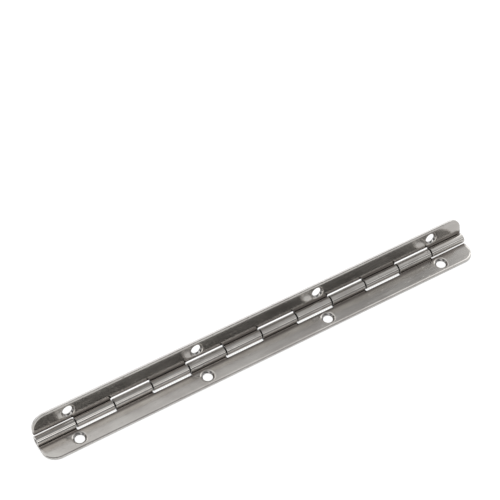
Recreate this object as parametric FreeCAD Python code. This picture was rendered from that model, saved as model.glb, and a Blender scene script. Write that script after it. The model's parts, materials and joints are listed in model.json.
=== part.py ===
import FreeCAD, Part
import math
import os

from FreeCAD import Vector

# A piano hinge: two identical leaves of rolled sheet, one turned end for end, on one full-length pin.
#
# The frame: +X runs along the pin. The fixed leaf lies flat with its back on Z = 0 and reaches towards -Y.
# The origin is the centre of the fixed leaf's line of screw holes, on its back. The leaves fold towards each
# other on the barrel side, +Z.

# Driving dimensions, in millimetres.
LENGTH = 200.0
KNUCKLE_COUNT = 12
KNUCKLE_GAP = 0.65
SHEET = 1.1
BARREL_RADIUS = 2.15
PIN_CLEARANCE = 0.05
PIN_RECESS = 0.6
PIN_CHAMFER = 0.25
LEAF_REACH = 10.9  # from the pin's axis to a leaf's outer edge
NOTCH_REACH = 2.75  # from the pin's axis to the edge of the notch that clears the other leaf's knuckle
END_NOTCH_REACH = 2.3  # the same for the shallower notch at a leaf's +X end
NOTCH_FILLET = 0.3  # at the notches' inner corners
CURL_GAP = 0.15  # between the curl's free end and its own leaf
CORNER_RADIUS = 5.8
FRONT_ROUND = 0.45
BACK_ROUND = 0.2
SCREW_COUNT = 4
SCREW_SPACING = 56.5
SCREW_REACH = 6.5  # from the pin's axis to the screw line
SCREW_RADIUS = 2.0
SINK_RADIUS = 2.7  # the mouth of the 90 degree countersink

# Driving angle, in degrees: how far the moving leaf stands folded up from flat.
FOLD = 85.0

# Sizes that follow.
PITCH = LENGTH / KNUCKLE_COUNT
CURL_RADIUS = BARREL_RADIUS - SHEET
PIN_RADIUS = CURL_RADIUS - PIN_CLEARANCE
BACK_Z = -BARREL_RADIUS
FRONT_Z = BACK_Z + SHEET
SINK_DEPTH = SINK_RADIUS - SCREW_RADIUS
CURL_START = -90.0
CURL_END = 180.0 + math.degrees(math.asin((-FRONT_Z - CURL_GAP) / BARREL_RADIUS))
PAST = 1.0  # how far a cutting tool runs past the faces that it cuts

X_AXIS = Vector(1, 0, 0)
Z_AXIS = Vector(0, 0, 1)
PIN_CENTRE = Vector(0, SCREW_REACH, BARREL_RADIUS)


def barrel_point(radius, degrees):
    """A point of the cross-section, in a frame centred on the pin, by its angle from +Y towards +Z."""
    angle = math.radians(degrees)
    return Vector(0, radius * math.cos(angle), radius * math.sin(angle))


def knuckle_span(index):
    """Where knuckle number index, counted from the -X end, starts and ends, with half a gap at each joint."""
    start = -LENGTH / 2 + index * PITCH
    end = start + PITCH
    if index > 0:
        start += KNUCKLE_GAP / 2
    if index < KNUCKLE_COUNT - 1:
        end -= KNUCKLE_GAP / 2
    return start, end


def make_knuckle(index):
    """The sheet runs under the pin, up its far side, over it and down to just above its own leaf."""
    start, end = knuckle_span(index)
    middle = (CURL_START + CURL_END) / 2
    root_back = Vector(0, -NOTCH_REACH, BACK_Z)
    root_front = Vector(0, -NOTCH_REACH, FRONT_Z)
    outer = [barrel_point(BARREL_RADIUS, a) for a in (CURL_START, middle, CURL_END)]
    inner = [barrel_point(CURL_RADIUS, a) for a in (CURL_END, middle, CURL_START)]
    edges = [
        Part.LineSegment(root_back, outer[0]).toShape(),
        Part.Arc(*outer).toShape(),
        Part.LineSegment(outer[2], inner[0]).toShape(),
        Part.Arc(*inner).toShape(),
        Part.LineSegment(inner[2], root_front).toShape(),
        Part.LineSegment(root_front, root_back).toShape(),
    ]
    section = Part.Face(Part.Wire(edges))
    section.translate(Vector(start, 0, 0))
    return section.extrude(Vector(end - start, 0, 0))


def make_plate():
    """The flat part of a leaf, with large outer corners and eased edges, before its holes are made."""
    width = LEAF_REACH - NOTCH_REACH
    corner = Vector(-LENGTH / 2, -LEAF_REACH, BACK_Z)
    plate = Part.makeBox(LENGTH, width, SHEET, corner)
    last_knuckle_end = knuckle_span(KNUCKLE_COUNT - 2)[1]
    strip_length = LENGTH / 2 - last_knuckle_end
    strip_corner = Vector(last_knuckle_end, -NOTCH_REACH, BACK_Z)
    end_strip = Part.makeBox(strip_length, NOTCH_REACH - END_NOTCH_REACH, SHEET, strip_corner)
    plate = plate.fuse(end_strip).removeSplitter()
    outer_corners = [
        e for e in plate.Edges
        if e.BoundBox.ZLength > SHEET / 2 and e.CenterOfMass.y < -NOTCH_REACH - width / 2
    ]
    plate = plate.makeFillet(CORNER_RADIUS, outer_corners)
    plate = plate.makeFillet(FRONT_ROUND, rim_edges(plate, FRONT_Z))
    return plate.makeFillet(BACK_ROUND, rim_edges(plate, BACK_Z))


def rim_edges(plate, height):
    """The plate's outer edges and round corners at one height, without the edge along the notches."""
    return [
        e for e in plate.Edges
        if abs(e.BoundBox.ZMin - height) < 1e-6 and abs(e.BoundBox.ZMax - height) < 1e-6
        and e.BoundBox.YMin < -NOTCH_REACH - 1e-3
    ]


def round_notches(leaf):
    """Fillets in the notches' inner corners, where the sides of the knuckles meet the plate."""
    corners = [
        e for e in leaf.Edges
        if abs(e.BoundBox.ZMin - BACK_Z) < 1e-6 and abs(e.BoundBox.ZMax - FRONT_Z) < 1e-6
        and e.BoundBox.XLength + e.BoundBox.YLength < 1e-6
        and abs(e.BoundBox.XMin) < LENGTH / 2 - PITCH / 2
    ]
    return leaf.makeFillet(NOTCH_FILLET, corners)


def make_screw_hole(x):
    """A through hole with a 90 degree countersink on the front, as the solid that is cut away."""
    floor = Vector(x, -SCREW_REACH, BACK_Z - PAST)
    drill = Part.makeCylinder(SCREW_RADIUS, SHEET + 2 * PAST, floor, Z_AXIS)
    sink_floor = Vector(x, -SCREW_REACH, FRONT_Z - SINK_DEPTH)
    sink = Part.makeCone(SCREW_RADIUS, SINK_RADIUS + PAST, SINK_DEPTH + PAST, sink_floor, Z_AXIS)
    return drill.fuse(sink)


def make_leaf():
    """A leaf about its pin's axis, reaching towards -Y, with every second knuckle from the -X end."""
    first_screw = -SCREW_SPACING * (SCREW_COUNT - 1) / 2
    holes = [make_screw_hole(first_screw + i * SCREW_SPACING) for i in range(SCREW_COUNT)]
    knuckles = [make_knuckle(i) for i in range(0, KNUCKLE_COUNT, 2)]
    leaf = make_plate().fuse(knuckles).removeSplitter()
    return round_notches(leaf).cut(holes)


def make_pin():
    """The pin, a little shorter than the barrel, with chamfered ends."""
    length = LENGTH - 2 * PIN_RECESS
    pin = Part.makeCylinder(PIN_RADIUS, length, Vector(-length / 2, 0, 0), X_AXIS)
    ends = [e for e in pin.Edges if e.BoundBox.XLength < 1e-6]
    return pin.makeChamfer(PIN_CHAMFER, ends)


def save(name, shape):
    solids = shape.Solids
    if len(solids) != 1 or not shape.isValid():
        raise ValueError(f"{name} is not one valid solid")
    solids[0].exportStep(f"parts/{name}.step")
    print(f"{name}: {solids[0].Volume:.1f} mm3")


os.makedirs("parts", exist_ok=True)

fixed_leaf = make_leaf()
fixed_leaf.translate(PIN_CENTRE)

moving_leaf = make_leaf()
moving_leaf.rotate(Vector(0, 0, 0), Z_AXIS, 180)
moving_leaf.rotate(Vector(0, 0, 0), X_AXIS, FOLD)
moving_leaf.translate(PIN_CENTRE)

hinge_pin = make_pin()
hinge_pin.translate(PIN_CENTRE)

save("fixed_leaf", fixed_leaf)
save("moving_leaf", moving_leaf)
save("hinge_pin", hinge_pin)
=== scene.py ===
import json
import math

import bmesh
import bpy
from mathutils import Matrix, Vector


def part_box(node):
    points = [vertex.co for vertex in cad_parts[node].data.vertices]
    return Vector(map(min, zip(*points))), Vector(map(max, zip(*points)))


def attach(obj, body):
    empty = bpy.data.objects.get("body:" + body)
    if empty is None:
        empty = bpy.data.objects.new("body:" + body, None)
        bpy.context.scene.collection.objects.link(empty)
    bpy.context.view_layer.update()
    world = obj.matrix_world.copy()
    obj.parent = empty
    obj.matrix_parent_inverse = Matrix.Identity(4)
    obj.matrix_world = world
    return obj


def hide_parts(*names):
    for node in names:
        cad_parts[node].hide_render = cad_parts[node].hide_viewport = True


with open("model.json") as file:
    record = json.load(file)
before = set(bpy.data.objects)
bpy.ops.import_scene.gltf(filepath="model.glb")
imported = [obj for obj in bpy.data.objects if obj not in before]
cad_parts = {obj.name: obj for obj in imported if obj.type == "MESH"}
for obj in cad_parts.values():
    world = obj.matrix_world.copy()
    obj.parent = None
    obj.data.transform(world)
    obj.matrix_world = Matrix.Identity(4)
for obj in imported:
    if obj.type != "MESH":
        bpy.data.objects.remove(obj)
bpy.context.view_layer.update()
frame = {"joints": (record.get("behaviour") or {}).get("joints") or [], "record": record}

MM = 0.001

# ---------------------------------------------------------------------------
# Sizes read from the frame, in metres and radians.

record = frame["record"]
mounts = {m["name"]: m for m in record["mounts"]}
inner_screws = mounts["fixed_leaf_inner_screws"]
outer_screws = mounts["fixed_leaf_outer_screws"]
moving_back = mounts["moving_leaf_back"]["axis"]
pin_centre = Vector(frame["joints"][0]["pos_m"])
leaf_low, leaf_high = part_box("fixed_leaf")
pin_low, pin_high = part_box("hinge_pin")

LENGTH = leaf_high.x - leaf_low.x
LEAF_REACH = pin_centre.y - leaf_low.y
BARREL_RADIUS = (leaf_high.z - leaf_low.z) / 2
PIN_RADIUS = (pin_high.z - pin_low.z) / 2
PIN_LENGTH = pin_high.x - pin_low.x
SCREW_REACH = pin_centre.y - inner_screws["pos_m"][1]
SCREW_RADIUS = inner_screws["dims"]["hole_r_mm"] * MM
SCREW_X = [
    side * pattern["dims"]["spacing_x_mm"] * MM / 2
    for pattern in (inner_screws, outer_screws)
    for side in (-1, 1)
]
FOLD = math.atan2(moving_back[1], -moving_back[2])

# ---------------------------------------------------------------------------
# Sizes of the sheet metal that the frame doesn't state.

KNUCKLE_COUNT = 12
KNUCKLE_GAP = 0.65 * MM
SHEET = 1.1 * MM
NOTCH_REACH = 2.75 * MM
END_NOTCH_REACH = 2.3 * MM  # the shallower notch at a leaf's +X end
CURL_GAP = 0.15 * MM
CORNER_RADIUS = 5.8 * MM
CORNER_STEPS = 24
END_CORNER_RADIUS = 0.5 * MM  # where the end notch meets the leaf's end
END_CORNER_STEPS = 8
NOTCH_FILLET = 0.3 * MM
NOTCH_FILLET_STEPS = 6
TAB_CORNER_RADIUS = 0.25 * MM
TAB_CORNER_STEPS = 4
CURL_STEPS = 72
END_STEPS = 10
ROLL_WIDTH = 1.0 * MM  # the outer rim's rolled-over edge, across the front
ROLL_DROP = 0.35 * MM  # and down the edge
EASE = 0.1 * MM  # every other edge
RIM_STEPS = 6
SINK_RADIUS = 2.7 * MM
SOFT_MOUTH = (  # points of a screw hole's mouth: out from SINK_RADIUS, and down from the front face
    (-0.16 * MM, 0.16 * MM),
    (-0.06 * MM, 0.09 * MM),
    (0.08 * MM, 0.05 * MM),
    (0.25 * MM, 0.022 * MM),
    (0.45 * MM, 0.004 * MM),
    (0.7 * MM, -0.01 * MM),
)
HOLE_STEPS = 72
CUTTER_SPARE = 1 * MM  # how far a hole's cutter reaches past the sheet
PIN_EDGE = 0.25 * MM
PIN_EDGE_STEPS = 6
PIN_STEPS = 48
DIMPLE_DEPTH = 0.12 * MM  # in each end of the pin
DIMPLE_SHAPE = ((0, 1), (0.3, 0.6), (0.55, 0))  # in parts of the pin's radius and of the dimple's depth
SHARP_ANGLE = math.radians(33)
FLAT_FACE_WEIGHT = 80  # how strongly a large flat face keeps its neighbours' shading flat
MITRE_LIMIT = 0.5  # an inset is at most doubled at a corner
SHEARED_LIMIT = 0.35  # a face is sheared if its normal has less than this through the sheet

PITCH = LENGTH / KNUCKLE_COUNT
FRONT_Z = SHEET - BARREL_RADIUS
CURL_ANGLE = math.radians(270) + math.asin((-FRONT_Z - CURL_GAP) / BARREL_RADIUS)
CURL_LENGTH = BARREL_RADIUS * CURL_ANGLE  # measured on the outside of the curl


# ---------------------------------------------------------------------------
# The flat blank of a leaf. A blank point is (x, s, roll): s runs across the leaf, 0 under the pin, negative
# on the leaf and positive on a tab. roll is 1 on the rolled-over outer rim and 0 on a plain eased edge.


def arc_points(x, s, radius, start, end, steps, roll_start=0.0, roll_end=0.0):
    """Blank points on an arc round (x, s), from start to end in degrees."""
    points = []
    for i in range(steps + 1):
        share = i / steps
        angle = math.radians(start + (end - start) * share)
        roll = roll_start + (roll_end - roll_start) * share
        points.append((x + radius * math.cos(angle), s + radius * math.sin(angle), roll))
    return points


def tab_sides(index):
    """Where tab number index, counted from the -X end, starts and ends along the pin."""
    start = -LENGTH / 2 + index * PITCH
    end = start + PITCH - KNUCKLE_GAP / 2
    if index > 0:
        start += KNUCKLE_GAP / 2
    return start, end


def tab_side_points(x):
    """The points up one side of a tab, from its root under the pin to where its round corner begins."""
    last = CURL_LENGTH - TAB_CORNER_RADIUS
    return [(x, last * i / CURL_STEPS, 0.0) for i in range(CURL_STEPS)]


def blank_outline():
    """The blank's outline, anticlockwise seen from the front, and each tab's two runs of point numbers."""
    half = LENGTH / 2
    corner_x = half - CORNER_RADIUS
    corner_s = CORNER_RADIUS - LEAF_REACH
    tip = CURL_LENGTH - TAB_CORNER_RADIUS
    points = arc_points(-corner_x, corner_s, CORNER_RADIUS, 180, 270, CORNER_STEPS, 1, 1)
    points += arc_points(corner_x, corner_s, CORNER_RADIUS, 270, 360, CORNER_STEPS, 1, 1)
    points += arc_points(
        half - END_CORNER_RADIUS, -END_NOTCH_REACH - END_CORNER_RADIUS, END_CORNER_RADIUS,
        0, 90, END_CORNER_STEPS, 1, 0,
    )
    tabs = []
    for index in range(KNUCKLE_COUNT - 2, -1, -2):
        start, end = tab_sides(index)
        fillet_s = NOTCH_FILLET - (END_NOTCH_REACH if index == KNUCKLE_COUNT - 2 else NOTCH_REACH)
        points += arc_points(end + NOTCH_FILLET, fillet_s, NOTCH_FILLET, 270, 180, NOTCH_FILLET_STEPS)
        right = len(points)
        points += tab_side_points(end)
        points += arc_points(end - TAB_CORNER_RADIUS, tip, TAB_CORNER_RADIUS, 0, 90, TAB_CORNER_STEPS)
        middle = len(points)
        points += arc_points(start + TAB_CORNER_RADIUS, tip, TAB_CORNER_RADIUS, 90, 180, TAB_CORNER_STEPS)
        points += reversed(tab_side_points(start))
        left = len(points)
        tabs.append((list(range(right, middle)), list(range(left - 1, middle - 1, -1))))
        if index > 0:
            fillet_s = NOTCH_FILLET - NOTCH_REACH
            points += arc_points(start - NOTCH_FILLET, fillet_s, NOTCH_FILLET, 0, -90, NOTCH_FILLET_STEPS)
    for i in range(1, END_STEPS):
        share = i / END_STEPS
        points.append((-half, corner_s * share, share))
    return points, tabs


def outward(points):
    """The outline's outward direction at each point, lengthened at corners to keep an inset's width."""
    directions = []
    count = len(points)
    for i in range(count):
        here = Vector(points[i][:2])
        before = (here - Vector(points[i - 1][:2])).normalized()
        after = (Vector(points[(i + 1) % count][:2]) - here).normalized()
        normal = Vector((before.y + after.y, -before.x - after.x)).normalized()
        directions.append(normal / max(normal.dot((after.y, -after.x)), MITRE_LIMIT))
    return directions


def rim_profile(roll):
    """(inset, height) from the front face round the edge to the back face."""
    width = EASE + (ROLL_WIDTH - EASE) * roll
    drop = EASE + (ROLL_DROP - EASE) * roll
    quarter = [math.pi / 2 * i / RIM_STEPS for i in range(RIM_STEPS + 1)]
    front = [(width * (1 - math.sin(a)), SHEET - drop * (1 - math.cos(a))) for a in quarter]
    back = [(EASE * (1 - math.cos(a)), EASE * (1 - math.sin(a))) for a in quarter]
    return front + back


def rolled(x, s, height):
    """Where a blank point goes when the tabs are rolled round the pin. height is above the leaf's back."""
    radius = BARREL_RADIUS - height
    if s <= 0:
        return Vector((x, s, -radius))
    angle = s / BARREL_RADIUS - math.pi / 2
    return Vector((x, radius * math.cos(angle), radius * math.sin(angle)))


# ---------------------------------------------------------------------------
# Meshes


def new_object(name, bm):
    mesh = bpy.data.meshes.new(name)
    bm.to_mesh(mesh)
    bm.free()
    thing = bpy.data.objects.new(name, mesh)
    bpy.context.scene.collection.objects.link(thing)
    return thing


def sheet_bmesh():
    """The rolled leaf about its pin's axis, reaching towards -Y, before its screw holes are cut."""
    points, tabs = blank_outline()
    directions = outward(points)
    bm = bmesh.new()
    rings = []
    for (x, s, roll), direction in zip(points, directions):
        column = []
        for inset, height in rim_profile(roll):
            column.append(bm.verts.new(rolled(x - direction.x * inset, s - direction.y * inset, height)))
        rings.append(column)
    count = len(rings)
    for i in range(count):
        here, after = rings[i], rings[(i + 1) % count]
        for j in range(len(here) - 1):
            bm.faces.new((here[j], here[j + 1], after[j + 1], after[j]))
    on_tab = set()
    for right, left in tabs:
        on_tab.update(right[1:] + left[1:])
        for k in range(len(right) - 1):
            quad = (right[k], right[k + 1], left[k + 1], left[k])
            bm.faces.new([rings[i][0] for i in quad])
            bm.faces.new([rings[i][-1] for i in reversed(quad)])
    flat = [i for i in range(count) if i not in on_tab]
    bm.faces.new([rings[i][0] for i in flat])
    bm.faces.new([rings[i][-1] for i in reversed(flat)])
    bmesh.ops.recalc_face_normals(bm, faces=bm.faces)
    return bm


def turned_bmesh(profile, steps, place):
    """A solid of revolution from (radius, height) points. place(radius, height, angle) gives each vertex."""
    bm = bmesh.new()
    turns = [2 * math.pi * i / steps for i in range(steps)]
    rings = []
    for radius, height in profile:
        if radius == 0:
            rings.append([bm.verts.new(place(0, height, 0))] * steps)
        else:
            rings.append([bm.verts.new(place(radius, height, angle)) for angle in turns])
    for low, high in zip(rings, rings[1:]):
        for i in range(steps):
            corners = (low[i - 1], low[i], high[i], high[i - 1])
            bm.faces.new(list(dict.fromkeys(corners)))
    bmesh.ops.recalc_face_normals(bm, faces=bm.faces)
    return bm


def screw_hole_cutter(x):
    """The space of one countersunk hole, with an eased edge at the back and a soft mouth at the front."""
    front = FRONT_Z
    back = -BARREL_RADIUS
    sink_depth = SINK_RADIUS - SCREW_RADIUS
    profile = [
        (0, back - CUTTER_SPARE),
        (SCREW_RADIUS + EASE + CUTTER_SPARE, back - CUTTER_SPARE),
        (SCREW_RADIUS, back + EASE),
        (SCREW_RADIUS, front - sink_depth),
    ]
    profile += [(SINK_RADIUS + out, front - down) for out, down in SOFT_MOUTH]
    profile.append((0, front + CUTTER_SPARE))

    def place(radius, height, angle):
        return Vector((x + radius * math.cos(angle), radius * math.sin(angle) - SCREW_REACH, height))

    return new_object("cutter", turned_bmesh(profile, HOLE_STEPS, place))


def cut(thing, cutter):
    """Take the cutter's space out of a piece."""
    modifier = thing.modifiers.new("cut", "BOOLEAN")
    modifier.object = cutter
    modifier.operation = "DIFFERENCE"
    modifier.solver = "EXACT"
    bake_modifiers(thing)
    bpy.data.objects.remove(cutter)


def bake_modifiers(thing):
    """Apply a piece's modifiers to its mesh."""
    depsgraph = bpy.context.evaluated_depsgraph_get()
    mesh = bpy.data.meshes.new_from_object(thing.evaluated_get(depsgraph))
    thing.modifiers.clear()
    thing.data = mesh


def smooth(thing):
    """Smooth shading between faces that meet gently, with flat faces kept flat."""
    bm = bmesh.new()
    bm.from_mesh(thing.data)
    for face in bm.faces:
        face.smooth = True
    for edge in bm.edges:
        edge.smooth = edge.calc_face_angle(0) < SHARP_ANGLE
    bm.to_mesh(thing.data)
    bm.free()
    modifier = thing.modifiers.new("flat faces stay flat", "WEIGHTED_NORMAL")
    modifier.keep_sharp = True
    modifier.weight = FLAT_FACE_WEIGHT
    bake_modifiers(thing)


def sheet_distance(point):
    """How far a point of a leaf is from s = 0, measured along the sheet's back."""
    if point.y < 0 and point.z < FRONT_Z + CURL_GAP / 2:
        return point.y
    angle = math.atan2(point.z, point.y) + math.pi / 2
    return BARREL_RADIUS * (angle if angle >= 0 else angle + 2 * math.pi)


def mark_sheet(leaf):
    """Add a UV map, u across the sheet and v along the pin, and mark sheared and sunk faces with 1."""
    bm = bmesh.new()
    bm.from_mesh(leaf.data)
    uv = bm.loops.layers.uv.new("sheet")
    sheared = bm.faces.layers.float.new("sheared")
    sunk = bm.faces.layers.float.new("sunk")
    for face in bm.faces:
        for loop in face.loops:
            point = loop.vert.co
            loop[uv].uv = (sheet_distance(point) / LEAF_REACH, point.x / LEAF_REACH)
        middle = face.calc_center_median()
        if middle.y < 0 and middle.z < FRONT_Z + CURL_GAP / 2:
            through = Vector((0, 0, 1))
        else:
            through = Vector((0, middle.y, middle.z)).normalized()
        face[sheared] = 1.0 if abs(face.normal.dot(through)) < SHEARED_LIMIT else 0.0
        to_hole = min(math.hypot(middle.x - x, middle.y + SCREW_REACH) for x in SCREW_X)
        face[sunk] = 1.0 if to_hole < SINK_RADIUS else 0.0
    bm.to_mesh(leaf.data)
    bm.free()


def make_leaf(name, matrix):
    leaf = new_object(name, sheet_bmesh())
    for x in SCREW_X:
        cut(leaf, screw_hole_cutter(x))
    mark_sheet(leaf)
    leaf.data.transform(matrix)
    smooth(leaf)
    return leaf


def make_pin(name):
    """The pin, with a rounded edge and a shallow dimple at each end."""
    half = PIN_LENGTH / 2
    end = [(PIN_RADIUS * out, half - DIMPLE_DEPTH * deep) for out, deep in DIMPLE_SHAPE]
    quarter = [math.pi / 2 * i / PIN_EDGE_STEPS for i in range(PIN_EDGE_STEPS + 1)]
    for a in quarter:
        end.append((PIN_RADIUS - PIN_EDGE * (1 - math.sin(a)), half - PIN_EDGE * (1 - math.cos(a))))
    profile = end + [(radius, -height) for radius, height in reversed(end)]

    def place(radius, height, angle):
        return pin_centre + Vector((height, radius * math.cos(angle), radius * math.sin(angle)))

    pin = new_object(name, turned_bmesh(profile, PIN_STEPS, place))
    smooth(pin)
    return pin


to_pin = Matrix.Translation(pin_centre)
turned_end_for_end = Matrix.Rotation(math.pi, 4, "Z")
folded_up = Matrix.Rotation(FOLD, 4, "X")

fixed_leaf = make_leaf("fixed_leaf_sheet", to_pin)
moving_leaf = make_leaf("moving_leaf_sheet", to_pin @ folded_up @ turned_end_for_end)
hinge_pin = make_pin("hinge_pin_rod")

for piece, body, node, slot in (
    (fixed_leaf, "fixed_leaf", "fixed_leaf", "leaf_steel"),
    (moving_leaf, "moving_leaf", "moving_leaf", "leaf_steel"),
    (hinge_pin, "fixed_leaf", "hinge_pin", "pin_steel"),
):
    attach(piece, body)
    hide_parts(node)

# ---------------------------------------------------------------------------
# Materials


class Nodes:
    """Short ways to add and join the nodes of a material or of the world."""

    def __init__(self, owner):
        owner.use_nodes = True
        self.owner = owner
        self.tree = owner.node_tree
        self.shader = self.tree.nodes.get("Principled BSDF")
        self.coordinates = self.add("ShaderNodeTexCoord").outputs

    def add(self, kind, **settings):
        node = self.tree.nodes.new(kind)
        for key, value in settings.items():
            setattr(node, key, value)
        return node

    def feed(self, socket, value):
        """Join an output to a socket, or set the socket to a plain value."""
        if isinstance(value, bpy.types.NodeSocket):
            self.tree.links.new(value, socket)
        else:
            socket.default_value = value

    def noise(self, size, stretch, detail):
        """Noise with blobs of about the given size, drawn out along the pin by stretch. 0 to 1."""
        mapping = self.add("ShaderNodeMapping")
        self.feed(mapping.inputs["Vector"], self.coordinates["Object"])
        self.feed(mapping.inputs["Scale"], (1 / (size * stretch), 1 / size, 1 / size))
        noise = self.add("ShaderNodeTexNoise")
        self.feed(noise.inputs["Vector"], mapping.outputs["Vector"])
        self.feed(noise.inputs["Scale"], 1.0)
        self.feed(noise.inputs["Detail"], detail)
        return noise.outputs["Fac"]

    def remap(self, value, from_low, from_high, to_low, to_high):
        """A value mapped from one range to another, and held inside it."""
        node = self.add("ShaderNodeMapRange")
        for socket, number in zip(node.inputs[:5], (value, from_low, from_high, to_low, to_high)):
            self.feed(socket, number)
        return node.outputs["Result"]

    def mix(self, share, low, high):
        """A colour from low to high by share."""
        node = self.add("ShaderNodeMix", data_type="RGBA")
        self.feed(node.inputs[0], share)
        self.feed(node.inputs[6], low)
        self.feed(node.inputs[7], high)
        return node.outputs[2]

    def math(self, operation, first, second=0.0):
        """The result of a sum, of which some need only their first number."""
        node = self.add("ShaderNodeMath", operation=operation)
        self.feed(node.inputs[0], first)
        self.feed(node.inputs[1], second)
        return node.outputs["Value"]

    def attribute(self, name):
        """A mark that mark_sheet put on the mesh."""
        return self.add("ShaderNodeAttribute", attribute_name=name).outputs["Fac"]

    def split(self, vector):
        """The X, Y and Z outputs of a vector."""
        node = self.add("ShaderNodeSeparateXYZ")
        self.feed(node.inputs["Vector"], vector)
        return node.outputs

    def bump(self, height, distance, normal=None):
        node = self.add("ShaderNodeBump")
        self.feed(node.inputs["Height"], height)
        self.feed(node.inputs["Distance"], distance)
        if normal is not None:
            self.feed(node.inputs["Normal"], normal)
        return node.outputs["Normal"]


# Places across the sheet, in parts of the leaf's reach, negative on the leaf, as in the UV map's u.
CREVICE_SHADE_FADE = (-0.4, -0.31)  # where the painted shade beside the barrel fades in
CURL_START = (-0.1, -0.05)  # where the sheet starts to roll, and the painted shade beside the barrel ends
SLIT_START = (-0.24, -0.22)  # where painted shade starts to fill the slits


def leaf_steel_colour(nodes, streaks, pits, sheared):
    """Clouded and streaked steel with small pits, painted shade beside the barrel, on the knuckle ends in the
    slits and in the countersinks.
    """
    bright = (0.64, 0.62, 0.59, 1)
    clouded = (0.53, 0.505, 0.48, 1)
    pit = (0.2, 0.18, 0.165, 1)
    # painted shade for the crevice beside the barrel
    crevice_shade = (0.17, 0.15, 0.14, 1)
    # painted shade for the knuckle ends in the slits
    slit_shade = (0.06, 0.055, 0.05, 1)
    # painted shade for the countersinks and hole walls
    countersink_shade = (0.34, 0.33, 0.32, 1)
    edge = (0.68, 0.67, 0.66, 1)
    sheet = nodes.split(nodes.add("ShaderNodeUVMap", uv_map="sheet").outputs["UV"])
    clouds = nodes.remap(nodes.noise(7 * MM, stretch=1.8, detail=3), 0.4, 0.65, 0, 1)
    colour = nodes.mix(clouds, bright, clouded)
    colour = nodes.mix(nodes.remap(streaks, 0.35, 0.75, 0, 0.35), colour, clouded)
    colour = nodes.mix(pits, colour, pit)
    # painted shade in the crevice beside the barrel, fading in towards the barrel and out where the sheet
    # rolls, patchy with the clouds
    beside_barrel = nodes.remap(sheet["X"], *CREVICE_SHADE_FADE, 0, 1)
    on_leaf = nodes.remap(sheet["X"], *CURL_START, 1, 0)
    patchy = nodes.remap(clouds, 0, 1, 0.85, 0.6)
    crevice_shade_share = nodes.math("MULTIPLY", nodes.math("MULTIPLY", beside_barrel, on_leaf), patchy)
    colour = nodes.mix(crevice_shade_share, colour, crevice_shade)
    colour = nodes.mix(nodes.math("MULTIPLY", sheared, 0.75), colour, edge)
    # painted shade in the countersinks and hole walls
    colour = nodes.mix(nodes.attribute("sunk"), colour, countersink_shade)
    # painted shade on the knuckles' end faces, in the slits between knuckles
    knuckle_end = nodes.math("MULTIPLY", sheared, nodes.remap(sheet["X"], *SLIT_START, 0, 1))
    from_middle = nodes.math("ABSOLUTE", sheet["Y"])
    between_knuckles = nodes.math("LESS_THAN", from_middle, (LENGTH - PITCH) / 2 / LEAF_REACH)
    return nodes.mix(nodes.math("MULTIPLY", knuckle_end, between_knuckles), colour, slit_shade)


def leaf_steel_material():
    """Bright stainless sheet, finely brushed along the pin, and duller where it is sheared or pitted."""
    nodes = Nodes(bpy.data.materials.new("leaf_steel"))
    shader = nodes.shader
    streaks = nodes.noise(0.3 * MM, stretch=60, detail=2)
    scratches = nodes.noise(0.07 * MM, stretch=120, detail=1)
    pits = nodes.remap(nodes.noise(0.9 * MM, stretch=1.3, detail=0), 0.78, 0.82, 0, 0.45)
    sheared = nodes.attribute("sheared")
    nodes.feed(shader.inputs["Base Color"], leaf_steel_colour(nodes, streaks, pits, sheared))
    shader.inputs["Metallic"].default_value = 1.0
    roughness = nodes.remap(streaks, 0.3, 0.7, 0.1, 0.15)
    roughness = nodes.math("ADD", roughness, nodes.math("MULTIPLY", pits, 0.25))
    roughness = nodes.math("ADD", roughness, nodes.math("MULTIPLY", sheared, 0.22))
    nodes.feed(shader.inputs["Roughness"], roughness)
    shader.inputs["Anisotropic"].default_value = 0.25
    tangent = nodes.add("ShaderNodeTangent", direction_type="UV_MAP", uv_map="sheet")
    nodes.feed(shader.inputs["Tangent"], tangent.outputs["Tangent"])
    waves = nodes.bump(nodes.noise(6 * MM, stretch=2.5, detail=1), 0.03 * MM)
    brushed = nodes.bump(nodes.math("ADD", streaks, scratches), 0.001 * MM, normal=waves)
    pitted = nodes.bump(nodes.math("SUBTRACT", 1.0, pits), 0.02 * MM, normal=brushed)
    nodes.feed(shader.inputs["Normal"], pitted)
    return nodes.owner


def pin_steel_material():
    """Drawn wire, coloured dark as painted shade inside the barrel and slits, with a dull cut end."""
    nodes = Nodes(bpy.data.materials.new("pin_steel"))
    shader = nodes.shader
    grain = nodes.noise(0.12 * MM, stretch=1.0, detail=3)
    drawn = nodes.noise(0.08 * MM, stretch=80, detail=1)
    # painted shade: the pin's colour is kept dark so the slits between knuckles read dark
    dark = (0.1, 0.095, 0.09, 1)
    pale = (0.2, 0.19, 0.18, 1)
    nodes.feed(shader.inputs["Base Color"], nodes.mix(grain, dark, pale))
    shader.inputs["Metallic"].default_value = 1.0
    nodes.feed(shader.inputs["Roughness"], nodes.remap(grain, 0.3, 0.7, 0.3, 0.45))
    nodes.feed(shader.inputs["Normal"], nodes.bump(nodes.math("ADD", grain, drawn), 0.004 * MM))
    return nodes.owner


leaf_steel = leaf_steel_material()
fixed_leaf.data.materials.append(leaf_steel)
moving_leaf.data.materials.append(leaf_steel)
hinge_pin.data.materials.append(pin_steel_material())

# ---------------------------------------------------------------------------
# Floor, light and camera

FLOOR_HALF_WIDTH = 3.0
FLOOR_DROP = 0.02 * MM  # keeps the floor from touching the leaf's back
FLOOR_GLOW = (0.5, 0.75)  # in front of the hinge and behind it
FLOOR_GLOW_SPAN = (-10 * MM, 15 * MM)  # where along Y the one fades into the other
FLOOR_SEEN_GLOW = 0.85  # the camera sees the floor nearly white


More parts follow.
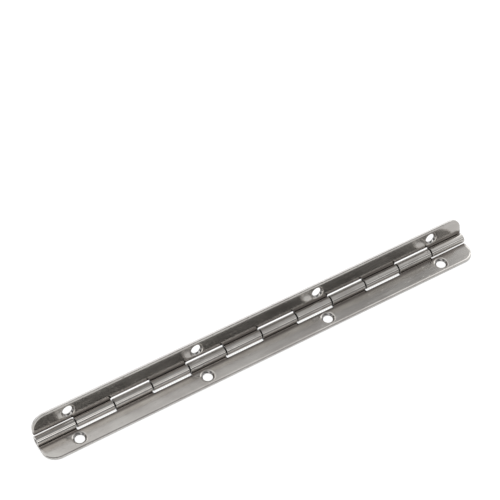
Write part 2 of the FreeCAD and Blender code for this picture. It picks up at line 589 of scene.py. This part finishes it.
def make_floor():
    """A pale, evenly lit table under the hinge."""
    bm = bmesh.new()
    bmesh.ops.create_grid(bm, x_segments=1, y_segments=1, size=FLOOR_HALF_WIDTH)
    floor = new_object("floor", bm)
    floor.location.z = -FLOOR_DROP
    nodes = Nodes(bpy.data.materials.new("floor_white"))
    nodes.shader.inputs["Base Color"].default_value = (0.3, 0.3, 0.3, 1)
    nodes.shader.inputs["Roughness"].default_value = 0.9
    nodes.shader.inputs["Emission Color"].default_value = (1, 1, 1, 1)
    glow = nodes.remap(nodes.split(nodes.coordinates["Object"])["Y"], *FLOOR_GLOW_SPAN, *FLOOR_GLOW)
    seen = nodes.add("ShaderNodeLightPath").outputs["Is Camera Ray"]
    nodes.feed(nodes.shader.inputs["Emission Strength"], nodes.remap(seen, 0, 1, glow, FLOOR_SEEN_GLOW))
    floor.data.materials.append(nodes.owner)
    return floor


# The studio's soft lights, as long bands in the pin's direction. Each has its angle round the pin in degrees,
# from the horizon in front over the top, its half width, the width of its soft edge, and its strength in
# directions that lean along the pin by NEAR_END_X and by FAR_END_X, as the near and the far end mirror them.
LIGHT_BANDS = (
    (8, 12, 8, 0.1, 0.1),  # the dark room in front
    (31, 6, 5, 2.2, 1.1),  # low strip in front
    (58, 9, 6, 1.3, 0.36),  # softbox over the camera
    (94, 26, 12, 0.25, 0.55),  # ceiling
    (114, 6, 6, 0.55, 1.0),  # high softbox behind
    (127, 8, 5, 0.7, 0.1),  # pale wall behind
    (142, 12, 8, 1.4, 1.4),  # low softbox behind
)
NEAR_END_X = 0.2
FAR_END_X = 0.45
AMBIENT = 0.04
END_LIGHT = 0.4  # a light off the far end, added to the bands
END_LIGHT_X = (0.44, 0.46)  # the lean at which it fades in


def make_world():
    """Soft studio light, and a pale backdrop."""
    world = bpy.data.worlds.new("studio")
    nodes = Nodes(world)
    direction = nodes.split(nodes.coordinates["Generated"])
    front = nodes.math("MULTIPLY", direction["Y"], -1.0)
    angle = nodes.math("ARCTAN2", direction["Z"], front)
    total = AMBIENT
    for degrees, half, fade, near, far in LIGHT_BANDS:
        aside = nodes.math("ABSOLUTE", nodes.math("SUBTRACT", angle, math.radians(degrees)))
        inner, outer = math.radians(half - fade / 2), math.radians(half + fade / 2)
        band = nodes.remap(aside, inner, outer, 1.0, 0.0)
        strength = nodes.remap(direction["X"], NEAR_END_X, FAR_END_X, near, far)
        total = nodes.math("ADD", total, nodes.math("MULTIPLY", band, strength))
    total = nodes.math("ADD", total, nodes.remap(direction["X"], *END_LIGHT_X, 0, END_LIGHT))
    background = nodes.tree.nodes["Background"]
    background.inputs["Color"].default_value = (1, 1, 1, 1)
    nodes.feed(background.inputs["Strength"], total)
    backdrop = nodes.add("ShaderNodeBackground")
    backdrop.inputs["Color"].default_value = (0.9, 0.9, 0.9, 1)
    seen = nodes.add("ShaderNodeMixShader")
    nodes.feed(seen.inputs["Fac"], nodes.add("ShaderNodeLightPath").outputs["Is Camera Ray"])
    nodes.feed(seen.inputs[1], background.outputs["Background"])
    nodes.feed(seen.inputs[2], backdrop.outputs["Background"])
    nodes.feed(nodes.tree.nodes["World Output"].inputs["Surface"], seen.outputs["Shader"])
    return world


VIEW_AZIMUTH = math.radians(-31.11)
VIEW_ELEVATION = math.radians(46.69)
VIEW_ROLL = math.radians(0.8)
CAMERA_OFFSET = Vector((-0.22022, -0.35798, 0.49494))  # from the pin's centre
FOCAL_LENGTH = 116.74  # in millimetres, for the sensor's width
SENSOR_WIDTH = 36.0
NEAREST_SEEN = 10 * MM


def make_camera():
    """A camera that sees the hinge as the photograph does."""
    data = bpy.data.cameras.new("camera")
    data.sensor_width = SENSOR_WIDTH
    data.lens = FOCAL_LENGTH
    data.clip_start = NEAREST_SEEN
    camera = bpy.data.objects.new("camera", data)
    bpy.context.scene.collection.objects.link(camera)
    view = Vector((
        -math.sin(VIEW_AZIMUTH) * math.cos(VIEW_ELEVATION),
        math.cos(VIEW_AZIMUTH) * math.cos(VIEW_ELEVATION),
        -math.sin(VIEW_ELEVATION),
    ))
    roll = Matrix.Rotation(-VIEW_ROLL, 3, "Z").to_quaternion()
    camera.location = pin_centre + CAMERA_OFFSET
    camera.rotation_mode = "QUATERNION"
    camera.rotation_quaternion = view.to_track_quat("-Z", "Y") @ roll
    return camera


make_floor()
bpy.context.scene.world = make_world()
bpy.context.scene.camera = make_camera()
bpy.context.scene.view_settings.view_transform = "Standard"
